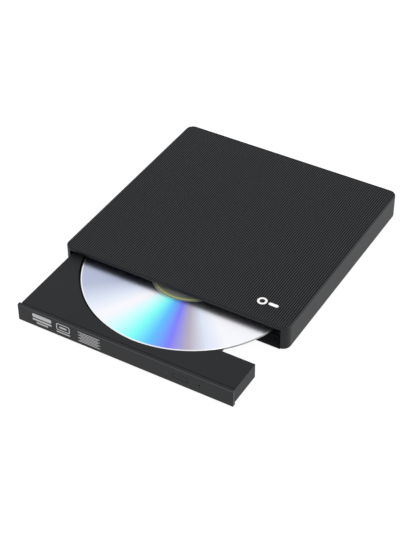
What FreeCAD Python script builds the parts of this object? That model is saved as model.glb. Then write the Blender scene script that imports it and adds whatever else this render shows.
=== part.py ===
import FreeCAD, Part
import math
import os
import Sketcher

# External slim optical drive, tray part-way out with a disc on its spindle.
# Millimetres, +Z up, feet on z = 0, x = 0 on the middle of the case. Front is -Y.
# Heights inside the case are measured from a datum `pan_datum` below the chassis pan's top face.

SIZES = {
    # case
    "case_width": 137.0,
    "case_depth": 134.0,
    "case_height": 14.7,
    "case_corner": 4.65,
    "top_round": 0.8,
    "bottom_round": 0.8,
    "rib_rim": 0.9,
    "rib_depth": 0.35,
    "foot_height": 0.8,
    "foot_radius": 4.6,
    "foot_recess": 0.4,
    "foot_inset_x": 12.5,
    "foot_inset_y": 13.0,
    "wall": 1.8,
    "lip": 1.85,
    "post_width": 3.9,
    "post_depth": 8.0,
    "floor": 1.1,
    "sill": 0.5,
    "sill_depth": 6.0,
    "cover_gap": 0.15,
    "snap_width": 7.0,
    "snap_thick": 1.0,
    "snap_height": 5.0,
    "snap_hook": 0.5,
    "snap_inset": 30.0,
    "usb_inset": 15.3,
    "usb_high": 5.25,
    # sheet-metal chassis inside the case
    "sheet_steel": 0.5,
    "pan_datum": 2.4,
    "chassis_clear": 0.15,
    "chassis_front": 6.5,
    "chassis_wall_front": 24.0,
    "chassis_back_gap": 4.0,
    "lid_clear": 0.45,
    "lid_steel": 0.4,
    "screw_x": 48.0,
    "screw_inset": 14.0,
    "screw_radius": 0.8,
    "screw_head": 1.7,
    # main board
    "board_clear": 2.2,
    "board_side_gap": 1.7,
    "board_length": 70.6,
    "board_back": 0.6,
    "board_thick": 0.8,
    "standoff": 0.5,
    "standoff_inset": 1.6,
    # tray
    "rest_out": 48.8,
    "mouth_clear": 1.9,
    "tray_left_clear": 1.35,
    "tray_right_clear": 0.25,
    "tray_end_gap": 5.0,
    "tray_cut": 42.2,
    "tray_low": 2.95,
    "tray_beam_low": 5.2,
    "tray_floor": 9.2,
    "tray_skin": 1.2,
    "strip_depth": 22.7,
    "recess_clear": 1.0,
    "beam_width": 5.65,
    "bezel_side_clear": 0.2,
    "bezel_low_clear": 0.15,
    "bezel_thick": 2.6,
    "bezel_gap": 0.35,
    "bezel_round": 0.5,
    "button_x": 34.5,
    "button_z": 6.9,
    "button_half_x": 4.5,
    "button_half_z": 1.5,
    "button_clear": 0.08,
    "lamp_offset": 8.0,
    "lamp_radius": 0.6,
    "lamp_clear": 0.05,
    "pin_hole_offset": 11.5,
    "pin_hole_radius": 0.5,
    "lever_inset": 7.35,
    "lever_y": 13.0,
    "lever_length": 14.5,
    "catch_radius": 1.0,
    "catch_clear": 0.2,
    # disc
    "disc_radius": 60.0,
    "disc_hole": 7.5,
    "disc_thick": 1.2,
    "disc_clear": 0.59,
    "hub_clear": 0.15,
    "pawl_half": 1.0,
    "pawl_clear": 0.15,
    "spindle_x": 1.8,
    "spindle_y": 67.8,
    # telescopic rails
    "rail_inset_left": 2.65,
    "rail_inset_right": 3.0,
    "rail_start_gap": 0.5,
    "rail_end_gap": 1.0,
    "rail_low": 2.95,
    "rail_high": 7.05,
    "rail_flange": 0.7,
    "rail_flange_half": 1.1,
    "rail_web_half": 0.4,
    "rail_play": 0.1,
    "guide_half": 2.0,
    "guide_high": 4.6,
    # drive deck carried under the tray, in its own turned frame
    "deck_turn": 48.0,
    "deck_low": 3.9,
    "deck_thick": 0.8,
    "rod_radius": 1.0,
    "rod_high": 5.9,
    "rod_main_x": 12.5,
    "rod_sub_x": 9.5,
    "rod_start": 10.0,
    "rod_end": 65.0,
    "lens_home": 24.0,
    "lead_x": 16.2,
    "lead_radius": 0.95,
}

os.makedirs("parts", exist_ok=True)
doc = FreeCAD.newDocument("optical_drive")
sheet = doc.addObject("Spreadsheet::Sheet", "dims")
for row, (alias, value) in enumerate(SIZES.items(), 1):
    sheet.set(f"A{row}", alias)
    sheet.set(f"B{row}", str(value))
    sheet.setAlias(f"B{row}", alias)
doc.recompute()


class Size:
    """A length that carries its spreadsheet formula beside its present value."""

    def __init__(self, formula, value):
        self.formula = formula
        self.value = value

    def join(self, sign, other, value):
        return Size(f"({self.formula} {sign} {other.formula})", value)

    def __add__(self, other):
        other = size(other)
        return self.join("+", other, self.value + other.value)

    def __sub__(self, other):
        other = size(other)
        return self.join("-", other, self.value - other.value)

    def __mul__(self, other):
        other = size(other)
        return self.join("*", other, self.value * other.value)

    def __truediv__(self, other):
        other = size(other)
        return self.join("/", other, self.value / other.value)

    def __radd__(self, other):
        return size(other) + self

    def __rsub__(self, other):
        return size(other) - self

    def __rmul__(self, other):
        return size(other) * self

    def __neg__(self):
        return size(0) - self


def size(value):
    return value if isinstance(value, Size) else Size(repr(float(value)), float(value))


class Dims:
    """The spreadsheet's rows, by name."""

    def __getattr__(self, alias):
        return Size(f"dims.{alias}", SIZES[alias])


d = Dims()


def bind(thing, prop, value):
    thing.setExpression(prop, size(value).formula)


case_low = d.foot_height
case_top = d.foot_height + d.case_height
half = d.case_width / 2
inner_half = half - d.wall
mouth_half = half - d.post_width
inner_rear = d.case_depth - d.wall
floor_top = case_low + d.floor
pan_top = floor_top + d.sheet_steel
ceiling = case_top - d.lip
datum = pan_top - d.pan_datum

# Local frames (x, y, turn, z): the case's front plane, from the table and from the datum, then
# from the datum the bezel's front plane and the spindle axis, turned with the deck and square.
front = (d.rest_out - d.case_depth) / 2
CASE = (size(0), front, 0, size(0))
INSIDE = (size(0), front, 0, datum)
TRAY = (size(0), front - d.rest_out, 0, datum)
DECK = (d.spindle_x, TRAY[1] + d.spindle_y, SIZES["deck_turn"], datum)
HUB = (d.spindle_x, TRAY[1] + d.spindle_y, 0, datum)

AXES = {
    "z": FreeCAD.Rotation(),
    "y": FreeCAD.Rotation(FreeCAD.Vector(1, 0, 0), -90),
    "x": FreeCAD.Rotation(FreeCAD.Vector(0, 1, 0), 90),
}
PIECES = []


class Piece:
    """One sub-part: a body built of added and cut solids in one of the local frames."""

    def __init__(self, name, frame, shift=(0, 0, 0), turn=0):
        self.name = name
        self.body = doc.addObject("PartDesign::Body", name)
        self.body.Label = name
        angle = math.radians(frame[2])
        about = FreeCAD.Rotation(FreeCAD.Vector(0, 0, 1), frame[2] + turn)
        self.body.Placement = FreeCAD.Placement(FreeCAD.Vector(), about)
        sx, sy, sz = (size(v) for v in shift)
        bind(self.body, "Placement.Base.x", frame[0] + sx * math.cos(angle) - sy * math.sin(angle))
        bind(self.body, "Placement.Base.y", frame[1] + sx * math.sin(angle) + sy * math.cos(angle))
        bind(self.body, "Placement.Base.z", frame[3] + sz)
        PIECES.append(self)

    def feature(self, kind):
        label = f"{self.name}_{len(self.body.Group)}"
        return self.body.newObject(f"PartDesign::{kind}", label)

    def box(self, kind, x, y, z):
        block = self.feature(f"{kind}Box")
        for prop, axis, (low, high) in (("Length", "x", x), ("Width", "y", y), ("Height", "z", z)):
            bind(block, prop, size(high) - low)
            bind(block, f"Placement.Base.{axis}", low)

    def cut_turned_box(self, at, turn, extent):
        """Cuts a box that starts at `at` and is turned about Z by `turn` degrees."""
        block = self.feature("SubtractiveBox")
        about = FreeCAD.Rotation(FreeCAD.Vector(0, 0, 1), turn)
        block.Placement = FreeCAD.Placement(FreeCAD.Vector(), about)
        for axis, value in zip("xyz", at):
            bind(block, f"Placement.Base.{axis}", value)
        for prop, value in zip(("Length", "Width", "Height"), extent):
            bind(block, prop, value)

    def rod(self, kind, radius, at, length, axis="z"):
        bar = self.feature(f"{kind}Cylinder")
        bar.Placement = FreeCAD.Placement(FreeCAD.Vector(), AXES[axis])
        bind(bar, "Radius", radius)
        bind(bar, "Height", length)
        for name, value in zip("xyz", at):
            bind(bar, f"Placement.Base.{name}", value)

    def add_box(self, x, y, z):
        self.box("Additive", x, y, z)

    def cut_box(self, x, y, z):
        self.box("Subtractive", x, y, z)

    def add_rod(self, radius, at, length, axis="z"):
        self.rod("Additive", radius, at, length, axis)

    def cut_rod(self, radius, at, length, axis="z"):
        self.rod("Subtractive", radius, at, length, axis)

    def sketch(self, plane, points):
        """A closed outline on one of the body's planes, each corner held by its two sizes."""
        outline = self.body.newObject("Sketcher::SketchObject", f"{self.name}_outline_{len(self.body.Group)}")
        base = next(f for f in self.body.Origin.OriginFeatures if f.Role == plane)
        outline.AttachmentSupport = [(base, "")]
        outline.MapMode = "FlatFace"
        corners = [(size(u), size(v)) for u, v in points]
        ends = corners[1:] + corners[:1]
        for (u, v), (p, q) in zip(corners, ends):
            start = FreeCAD.Vector(u.value, v.value, 0)
            outline.addGeometry(Part.LineSegment(start, FreeCAD.Vector(p.value, q.value, 0)))
        for i in range(len(corners)):
            outline.addConstraint(Sketcher.Constraint("Coincident", i, 2, (i + 1) % len(corners), 1))
        for i, corner in enumerate(corners):
            for kind, reach in zip(("DistanceX", "DistanceY"), corner):
                row = outline.addConstraint(Sketcher.Constraint(kind, -1, 1, i, 1, reach.value))
                bind(outline, f"Constraints[{row}]", reach)
        return outline

    def revolve(self, points, kind="Revolution"):
        """Turns an outline of (radius, height) corners about the body's Z axis."""
        turned = self.sketch("XZ_Plane", points)
        lathe = self.feature(kind)
        lathe.Profile = turned
        lathe.ReferenceAxis = (turned, ["V_Axis"])
        lathe.Angle = 360

    def pad_back(self, points, length):
        """Pushes an outline of (x, z) corners back along +Y from the body's XZ plane."""
        outline = self.sketch("XZ_Plane", points)
        pad = self.feature("Pad")
        pad.Profile = outline
        pad.Reversed = True
        bind(pad, "Length", length)

    def dress(self, kind, prop, amount, chosen):
        """Rounds or chamfers the edges that `chosen` picks by their bounding box."""
        doc.recompute()
        base = self.body.Tip
        names = [f"Edge{i}" for i, e in enumerate(base.Shape.Edges, 1) if chosen(e.BoundBox)]
        finish = self.feature(kind)
        finish.Base = (base, names)
        bind(finish, prop, amount)

    def fillet(self, radius, chosen):
        self.dress("Fillet", "Radius", radius, chosen)

    def chamfer(self, reach, chosen):
        self.dress("Chamfer", "Size", reach, chosen)


def upright(b):
    return b.XLength < 1e-4 and b.YLength < 1e-4


def level_at(height):
    return lambda b: b.ZLength < 1e-4 and abs(b.ZMin - height.value) < 1e-4


def span(side, near, far):
    """The low and high end of a stretch from `near` to `far`, mirrored for side -1."""
    return (near, far) if side > 0 else (-far, -near)


# ---------------------------------------------------------------- case
# mouth and tray sides, which the chassis and the bezel follow
bezel_half = mouth_half - d.bezel_side_clear
tray_left = mouth_half - d.tray_left_clear
tray_right = mouth_half - d.tray_right_clear
tray_end = d.case_depth - d.tray_end_gap
tray_top = ceiling - d.mouth_clear - datum
lever_x = tray_right - d.lever_inset

usb_x = half - d.usb_inset
usb_z = d.usb_high + datum
snap_places = (d.snap_inset, d.case_depth / 2, d.case_depth - d.snap_inset)

cover = Piece("top_cover", CASE)
cover.add_box((-half, half), (0, d.case_depth), (case_low, case_top))
cover.fillet(d.case_corner, upright)
cover.fillet(d.top_round, level_at(case_top))
cover.fillet(d.bottom_round, level_at(case_low))
cover.cut_box((-mouth_half, mouth_half), (-1, inner_rear), (case_low - 1, ceiling))
cover.cut_box((-inner_half, inner_half), (d.post_depth, d.case_depth - d.post_depth), (case_low - 1, ceiling))
cover.cut_box((-inner_half, inner_half), (d.wall, inner_rear), (case_low - 1, floor_top))
cover.cut_box((usb_x - 4.8, usb_x + 4.8), (inner_rear - 1, d.case_depth + 1), (usb_z - 1.95, usb_z + 1.95))
# shallow field that the ribbed skin of the lid sits in
rib_x = half - d.rib_rim
rib_round = d.case_corner - d.rib_rim
rib_rear = d.case_depth - d.rib_rim
rib_low = case_top - d.rib_depth
cover.cut_box((-rib_x + rib_round, rib_x - rib_round), (d.rib_rim, rib_rear), (rib_low, case_top + 1))
cover.cut_box((-rib_x, rib_x), (d.rib_rim + rib_round, rib_rear - rib_round), (rib_low, case_top + 1))
for side in (-1, 1):
    for y in (d.rib_rim + rib_round, rib_rear - rib_round):
        cover.cut_rod(rib_round, (side * (rib_x - rib_round), y, rib_low), 2)
snap_top = floor_top + d.snap_height
for side in (-1, 1):
    pocket = span(side, inner_half, inner_half + d.snap_hook + 0.1)
    for place in snap_places:
        reach = d.snap_width / 2 + 0.3
        cover.cut_box(pocket, (place - reach, place + reach), (snap_top - 1.6, snap_top + 0.3))

foot_x = half - d.foot_inset_x
foot_ys = (d.foot_inset_y, d.case_depth - d.foot_inset_y)
chassis_rear = d.case_depth - d.chassis_back_gap
screw_x = d.screw_x
screw_ys = (d.chassis_front + d.screw_inset, chassis_rear - d.screw_inset)
cut_half = inner_half - d.cover_gap

base = Piece("bottom_cover", CASE)
base.add_box((-cut_half, cut_half), (d.wall + d.cover_gap, inner_rear - d.cover_gap), (case_low, floor_top))
base.add_box((-mouth_half + d.cover_gap, mouth_half - d.cover_gap), (0, d.wall + 1), (case_low, floor_top))
base.cut_box((-half, half), (-1, d.sill_depth), (case_low + d.sill, floor_top + 1))
for side in (-1, 1):
    for place in snap_places:
        reach = (place - d.snap_width / 2, place + d.snap_width / 2)
        spring = span(side, cut_half - d.snap_thick, cut_half)
        hook = span(side, cut_half, inner_half + d.snap_hook - 0.1)
        base.add_box(spring, reach, (floor_top - 0.2, snap_top))
        base.add_box(hook, reach, (snap_top - 1.2, snap_top))
for sx in (-1, 1):
    for sy in foot_ys:
        base.cut_rod(d.foot_radius + 0.2, (sx * foot_x, sy, case_low - 1), 1 + d.foot_recess)
    for sy in screw_ys:
        base.cut_rod(d.screw_radius + 0.2, (sx * screw_x, sy, case_low - 1), d.floor + 2)
        base.cut_rod(d.screw_head + 0.15, (sx * screw_x, sy, case_low - 1), 1 + d.floor * 0.6)
for row in range(8):
    vent = size(-31.5) + 9.0 * row
    base.cut_box((vent, vent + 1.6), (62, 76), (case_low - 1, floor_top + 1))

number = 0
for sx in (-1, 1):
    for sy in foot_ys:
        number += 1
        foot = Piece(f"foot_{number}", CASE, (sx * foot_x, sy, 0))
        r, t = d.foot_radius, d.foot_height + d.foot_recess
        foot.revolve([(0, 0), (r - 0.4, 0), (r, 0.4), (r, t), (0, t)])

# ---------------------------------------------------------------- chassis
side_in = tray_left + d.chassis_clear
side_out = side_in + d.sheet_steel
chassis_top = tray_top + datum + d.lid_clear
guide_start = d.chassis_wall_front
rail_left = tray_left - d.rail_inset_left
rail_right = d.tray_cut - d.rail_inset_right

pan = Piece("chassis_pan", CASE)
pan.add_box((-side_out, side_out), (d.chassis_front, chassis_rear), (floor_top, pan_top))
for side in (-1, 1):
    pan.add_box(span(side, side_in, side_out), (guide_start, chassis_rear), (floor_top, chassis_top))
pan.add_box((-side_out, d.tray_cut), (chassis_rear - d.sheet_steel, chassis_rear), (floor_top, chassis_top))
for sx in (-1, 1):
    for sy in screw_ys:
        pan.cut_rod(d.screw_radius + 0.05, (sx * screw_x, sy, floor_top - 1), 3)
pan.cut_box((-44, 26), (34, 54), (floor_top - 1, pan_top + 1))
pan.cut_box((-44, 26), (84, 104), (floor_top - 1, pan_top + 1))
board_xs = (d.tray_cut + d.board_clear, side_out - d.board_side_gap)
board_rear = chassis_rear + d.board_back
board_front = board_rear - d.board_length
for bx in (board_xs[0] + d.standoff_inset, board_xs[1] - d.standoff_inset):
    for by in (board_front + 4, board_rear - 12.6):
        pan.add_rod(1.5, (bx, by, pan_top - 0.2), d.standoff + 0.2)

lid = Piece("chassis_top", CASE)
lid.add_box((-side_out, side_out), (d.post_depth, chassis_rear), (chassis_top, chassis_top + d.lid_steel))
lid.fillet(4.0, upright)
for bead in (-40.0, 40.0):
    lid.cut_box((bead - 6, bead + 6), (guide_start, chassis_rear - 14), (chassis_top + 0.2, chassis_top + 1))

number = 0
for sx in (-1, 1):
    for sy in screw_ys:
        number += 1
        screw = Piece(f"chassis_screw_{number}", CASE, (sx * screw_x, sy, case_low))
        head = d.floor * 0.6
        shank = d.screw_radius
        cap = d.screw_head
        tip = d.floor + d.sheet_steel + 0.3
        screw.revolve([(0, 0.1), (cap, 0.1), (cap, head), (shank, head), (shank, tip), (0, tip)])
        screw.cut_box((-1.0, 1.0), (-0.2, 0.2), (-0.5, 0.4))
        screw.cut_box((-0.2, 0.2), (-1.0, 1.0), (-0.5, 0.4))

catch_x = lever_x - 2.4
catch_y = d.lever_y + d.lever_length - 1.3 - d.catch_radius - d.catch_clear
post = d.catch_radius
catch = Piece("latch_pin", INSIDE, (catch_x, catch_y, 0))
catch.revolve([(0, d.pan_datum), (2.4, d.pan_datum), (2.4, 3.0), (post, 3.3), (post, 6.8), (0, 6.8)])


# each guide is a channel round the rail's lower flange; the tray's beams hold its upper flange
slot_wide = d.rail_flange_half + d.rail_play
slot_slim = d.rail_web_half + d.rail_play
guide_neck = d.rail_low + d.rail_flange + d.rail_play
guide_outline = [
    (-d.guide_half, d.pan_datum), (d.guide_half, d.pan_datum), (d.guide_half, d.guide_high),
    (slot_slim, d.guide_high), (slot_slim, guide_neck), (slot_wide, guide_neck),
    (slot_wide, d.rail_low - d.rail_play), (-slot_wide, d.rail_low - d.rail_play),
    (-slot_wide, guide_neck), (-slot_slim, guide_neck), (-slot_slim, d.guide_high),
    (-d.guide_half, d.guide_high)]
guide_length = chassis_rear - d.rail_end_gap - guide_start
for name, where in (("left", -rail_left), ("right", rail_right)):
    guide = Piece(f"{name}_guide", INSIDE, (where, guide_start, 0))
    guide.pad_back(guide_outline, guide_length)
    rail = Piece(f"{name}_rail", INSIDE, (where, guide_start + d.rail_start_gap - d.rest_out / 2, 0))
    w, f, t = d.rail_web_half, d.rail_flange_half, d.rail_flange
    lo, hi = d.rail_low, d.rail_high
    rail.pad_back([(-f, lo), (f, lo), (f, lo + t), (w, lo + t), (w, hi - t), (f, hi - t),
                   (f, hi), (-f, hi), (-f, hi - t), (-w, hi - t), (-w, lo + t), (-f, lo + t)],
                  guide_length - d.rail_start_gap)

# main board in the corner that the tray leaves free
board_low = pan_top + d.standoff
board_top = board_low + d.board_thick
board = Piece("main_board", CASE)
board.add_box(board_xs, (board_front, board_rear), (board_low, board_top))
board.fillet(1.0, upright)

usb_low = board_top
socket = Piece("usb_socket", CASE)
usb_front = d.case_depth - 0.4
socket.add_box((usb_x - 4.45, usb_x + 4.45), (usb_front - 7.3, usb_front), (usb_low, usb_low + 3.2))
socket.fillet(1.3, lambda b: b.XLength < 1e-4 and b.ZLength < 1e-4)
socket.cut_box((usb_x - 4.15, usb_x + 4.15), (usb_front - 6.6, usb_front + 1), (usb_low + 0.3, usb_low + 2.9))
tongue = Piece("usb_tongue", CASE)
tongue_ys = (usb_front - 6.6, usb_front - 1.0)
tongue.add_box((usb_x - 3.3, usb_x + 3.3), tongue_ys, (usb_low + 1.25, usb_low + 1.95))

for name, across, back, wide, deep, tall in (
    ("bridge_chip", 4.2, 24.0, 9.0, 9.0, 0.9),
    ("motor_driver_chip", 5.2, 40.0, 7.0, 7.0, 0.9),
    ("board_connector", 1.2, 4.5, 15.0, 4.0, 1.6),
):
    part = Piece(name, CASE)
    left, near = board_xs[0] + across, board_front + back
    part.add_box((left, left + wide), (near, near + deep), (board_top, board_top + tall))
    part.chamfer(0.12, level_at(board_top + tall))

# ---------------------------------------------------------------- tray
beam_in = tray_left - d.beam_width
right_in = d.tray_cut - d.beam_width - 0.5
skin_low = d.tray_floor - d.tray_skin
end_in = tray_end - 1.2
front_in = d.bezel_thick + 1.2
strip_in = d.strip_depth - 1.1
boss_left = -beam_in + 4.6
boss_right = right_in - 5.05
boss_front = d.strip_depth + 5.3
tray_bosses = (
    (boss_left, boss_front), (boss_right, boss_front),
    (boss_left, tray_end - 7), (boss_right, tray_end - 6.5))
bush_spots = ((-15.0, -13.0), (14.0, -13.0), (2.5, 70.4))


def deck_point(x, y):
    a = math.radians(SIZES["deck_turn"])
    return (
        d.spindle_x + x * math.cos(a) - y * math.sin(a),
        d.spindle_y + x * math.sin(a) + y * math.cos(a),
    )


tray = Piece("tray", TRAY)
tray.add_box((-tray_left, d.tray_cut), (d.bezel_thick, tray_end), (d.tray_beam_low, tray_top))
tray.add_box((-tray_left, tray_right), (d.bezel_thick, d.strip_depth), (d.tray_low, tray_top))
tray.fillet(2.5, lambda b: upright(b) and b.YMin > SIZES["strip_depth"] + 1)
recess = tray_top - d.tray_floor + 1
tray.cut_rod(d.disc_radius + d.recess_clear, (d.spindle_x, d.spindle_y, d.tray_floor), recess)
tray.cut_box((-beam_in, right_in), (front_in, end_in), (1, skin_low))
tray.cut_box((-tray_left + 1.4, tray_right - 1.3), (front_in, strip_in), (1, skin_low))
tray.cut_box((d.tray_cut + 0.6, tray_right - 1.3), (front_in, strip_in), (1, tray_top - d.tray_skin))
groove_neck = d.rail_high - d.rail_flange - d.rail_play
for where in (-rail_left, rail_right):
    run = (guide_start, tray_end + 1)
    tray.cut_box((where - slot_slim, where + slot_slim), run, (d.tray_beam_low - 1, groove_neck + 0.1))
    tray.cut_box((where - slot_wide, where + slot_wide), run, (groove_neck, d.rail_high + d.rail_play))
for bx, by in tray_bosses:
    tray.add_rod(2.0, (bx, by, 3.25), skin_low - 3.0)
    tray.cut_rod(0.75, (bx, by, 3.0), 4.2)
for bx, by in bush_spots:
    px, py = deck_point(bx, by)
    tray.add_rod(1.2, (px, py, 3.35), skin_low - 3.2)
tray.cut_rod(18.0, (d.spindle_x, d.spindle_y, skin_low - 1), 3)
tray.cut_turned_box((*deck_point(-13.5, 8.0), skin_low - 1), SIZES["deck_turn"], (30, 55.5, d.tray_skin + 2))
button_x, button_z = d.button_x, d.button_z
lamp_x = button_x - d.lamp_offset
pin_hole_x = lever_x - d.pin_hole_offset
front_wall = (d.bezel_thick - 1, front_in + 1)
tray.cut_box((lamp_x - 2.0, button_x + d.button_half_x + 2.0), front_wall, (button_z - 2.5, button_z + 2.0))
tray.cut_box((pin_hole_x - 0.9, pin_hole_x + 0.9), front_wall, (button_z - 0.9, button_z + 0.9))
tray.cut_box((lever_x - 5.5, lever_x + 5.6), (strip_in - 1, d.strip_depth + 1), (1, 7.0))
tray.add_rod(1.3, (lever_x, d.lever_y, 3.9), tray_top - d.tray_skin - 3.7)

bezel = Piece("front_bezel", TRAY)
bezel_low = case_low + d.sill + d.bezel_low_clear - datum
bezel.add_box((-bezel_half, bezel_half), (0, d.bezel_thick - d.bezel_gap), (bezel_low, tray_top))
bezel.fillet(d.bezel_round, lambda b: b.YMax < 1e-4 or upright(b) and b.YMax < 1e-4)
for place in (-50.0, 0.0, 52.0):
    bezel.add_box((place - 4, place + 4), (d.bezel_thick - 0.5, d.bezel_thick), (7.0, 9.0))
hole_x = d.button_half_x + d.button_clear
hole_z = d.button_half_z + d.button_clear
bezel.cut_box((button_x - hole_x, button_x + hole_x), (-1, 4), (button_z - hole_z, button_z + hole_z))
bezel.cut_rod(d.lamp_radius + d.lamp_clear, (lamp_x, -1, button_z), 5, "y")
bezel.cut_rod(d.pin_hole_radius, (pin_hole_x, -1, button_z), 5, "y")

button = Piece("eject_button", TRAY)
cap_x = (button_x - d.button_half_x, button_x + d.button_half_x)
button.add_box(cap_x, (0, 2.2), (button_z - d.button_half_z, button_z + d.button_half_z))
button.fillet(0.3, lambda b: b.YMax < 1e-4)
button.add_box((button_x - 1.0, button_x + 1.0), (2.0, 3.0), (button_z - 0.6, button_z + 0.6))

pipe = Piece("light_pipe", TRAY)
pipe.add_rod(d.lamp_radius, (lamp_x, 0, button_z), 4.4, "y")
pipe.add_box((lamp_x - 0.8, lamp_x + 0.8), (3.8, 5.0), (button_z - 1.1, button_z + 0.6))

front_board = Piece("front_board", TRAY)
front_board.add_box((lamp_x - 2.5, button_x + 7.0), (4.6, 12.6), (5.0, 5.75))
switch = Piece("tact_switch", TRAY)
switch.add_box((button_x - 2.2, button_x + 2.2), (4.8, 7.6), (5.75, 7.85))
switch.add_rod(0.7, (button_x, 3.75, button_z), 1.4, "y")

solenoid = Piece("latch_solenoid", TRAY)
yoke_left, yoke_right = lever_x - 12.8, lever_x - 4.8
solenoid.add_box((yoke_left, yoke_right), (5.4, 7.0), (4.6, 9.6))
solenoid.add_box((yoke_left, yoke_right), (13.4, 15.0), (4.6, 9.6))
solenoid.add_box((yoke_left, yoke_left + 1.2), (5.4, 15.0), (4.6, 9.6))
solenoid.add_rod(2.3, (lever_x - 7.8, 6.8, 7.1), 6.8, "y")

lever = Piece("latch_lever", TRAY, (lever_x, d.lever_y, 0))
lever.add_rod(2.3, (0, 0, 4.5), 1.4)
lever.add_box((-1.0, 1.0), (0, d.lever_length), (4.5, 5.9))
lever.add_box((-3.7, 0.0), (d.lever_length - 1.3, d.lever_length), (4.5, 5.9))
lever.add_box((-3.8, 0), (-3.2, -1.6), (4.5, 5.9))
lever.cut_rod(1.35, (0, 0, 4), 3)

under = Piece("tray_cover", TRAY)
plate_left = beam_in - 0.2
under.add_box((-plate_left, right_in - 0.2), (d.strip_depth + 0.4, end_in - 0.3), (2.8, 7.0))
under.cut_box((-plate_left + 0.4, right_in - 0.6), (d.strip_depth + 0.8, end_in - 0.7), (3.2, 8.0))
for bx, by in tray_bosses:
    under.cut_rod(0.8, (bx, by, 2.0), 2.0)
under.cut_box((-25, 5), (30, 36), (2.0, 4.0))
for number, (bx, by) in enumerate(tray_bosses, 1):
    screw = Piece(f"tray_screw_{number}", TRAY, (bx, by, 0))
    screw.revolve([(0, 2.5), (1.5, 2.5), (1.5, 2.8), (0.7, 2.8), (0.7, 6.6), (0, 6.6)])
    screw.cut_box((-0.9, 0.9), (-0.15, 0.15), (2.0, 2.65))

tray_board = Piece("tray_board", TRAY)
tray_board_rear = tray_end - 4
tray_board.add_box((1.5, 28.0), (tray_board_rear - 26.5, tray_board_rear), (6.2, 7.0))
tray_board.fillet(1.2, upright)
chip = Piece("drive_chip", TRAY)
chip.add_box((6.0, 17.0), (tray_board_rear - 23, tray_board_rear - 12), (5.1, 6.2))
plug = Piece("tray_connector", TRAY)
plug.add_box((6.0, 23.0), (tray_board_rear - 6, tray_board_rear - 2), (4.4, 6.2))

# ---------------------------------------------------------------- drive deck under the tray
plate_low = d.deck_low
plate_top = d.deck_low + d.deck_thick
deck = Piece("deck_frame", DECK)
deck.add_box((-18.6, 18.5), (-17.0, 66.9), (plate_low, plate_top))
deck.fillet(1.5, upright)
deck.cut_box((-12.9, 16.0), (12.8, 64.4), (3, 6))
deck.cut_box((-19, -13.2), (-18, 9.2), (3, 6))
deck.cut_box((-19, -13.2), (61.8, 68), (3, 6))
for rx in (-d.rod_sub_x, d.rod_main_x):
    for start in (d.rod_start - 0.2, d.rod_end - 1.6):
        deck.add_box((rx - 2.0, rx + 2.0), (start, size(start) + 2.9), (plate_low, d.rod_high + 1.6))
for start in (9.4, 60.2):
    deck.add_box((-d.lead_x - 1.9, -d.lead_x + 1.9), (start, start + 1.4), (plate_low, d.rod_high + 1.5))
for bx, by in bush_spots:
    deck.add_rod(4.3, (bx, by, plate_low), d.deck_thick)
for bx, by in bush_spots:
    deck.cut_rod(2.5, (bx, by, 3), 3)
for rx in (-d.rod_sub_x, d.rod_main_x):
    deck.cut_rod(d.rod_radius + 0.02, (rx, d.rod_start, d.rod_high), d.rod_end - d.rod_start, "y")
deck.cut_rod(d.lead_radius + 0.05, (-d.lead_x, 9.0, d.rod_high), 52.3, "y")
deck.cut_rod(8.0, (0, 0, 3), 3)

for number, (bx, by) in enumerate(bush_spots, 1):
    bush = Piece(f"damper_{number}", DECK, (bx, by, 0))
    bush.revolve([(1.3, 3.3), (3.2, 3.3), (3.2, 3.85), (2.4, 3.85), (2.4, 4.75), (3.2, 4.75),
                  (3.2, 5.6), (1.3, 5.6)])

for name, rx in (("guide_rod_main", d.rod_main_x), ("guide_rod_sub", -d.rod_sub_x)):
    rod = Piece(name, DECK)
    rod.add_rod(d.rod_radius, (rx, d.rod_start, d.rod_high), d.rod_end - d.rod_start, "y")

motor = Piece("sled_motor", DECK)
motor.add_rod(2.0, (-d.lead_x, -4.0, d.rod_high + 0.05), 13.0, "y")
motor.add_box((-d.lead_x - 2.4, -d.lead_x + 2.4), (8.4, 9.1), (plate_low + 0.1, d.rod_high + 1.9))

stator = Piece("spindle_stator", HUB)
stator.revolve([(0.78, 4.2), (7.9, 4.2), (7.9, plate_top), (3.4, plate_top), (3.4, 5.0), (9.5, 5.0),
                (9.5, 6.3), (2.6, 6.3), (2.6, 7.4), (0.78, 7.4)])

rotor = Piece("spindle_rotor", HUB)
rotor.revolve([(0, 4.4), (0.75, 4.4), (0.75, 7.7), (10.0, 7.7), (10.0, 5.1), (11.2, 5.1), (11.2, 8.2),
               (10.9, 8.5), (0, 8.5)])
disc_low = d.tray_floor + d.disc_clear
disc_top = disc_low + d.disc_thick
hub_low = disc_low - 0.3
hub_top = disc_top + 0.81
hub_radius = d.disc_hole - d.hub_clear
table = Piece("turntable", HUB)
table.revolve([(0, 8.5), (13.6, 8.5), (14.2, 8.9), (14.2, hub_low), (hub_radius, hub_low),
               (hub_radius, disc_top), (hub_radius - 1.2, hub_top), (2.0, hub_top), (1.6, hub_top - 0.4),
               (0, hub_top - 0.4)])
pad = Piece("friction_ring", HUB)
pad.revolve([(10.6, hub_low), (13.6, hub_low), (13.6, disc_low), (10.6, disc_low)])
pawl_root = hub_radius - 2.05
slot_half = d.pawl_half + d.pawl_clear
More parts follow.
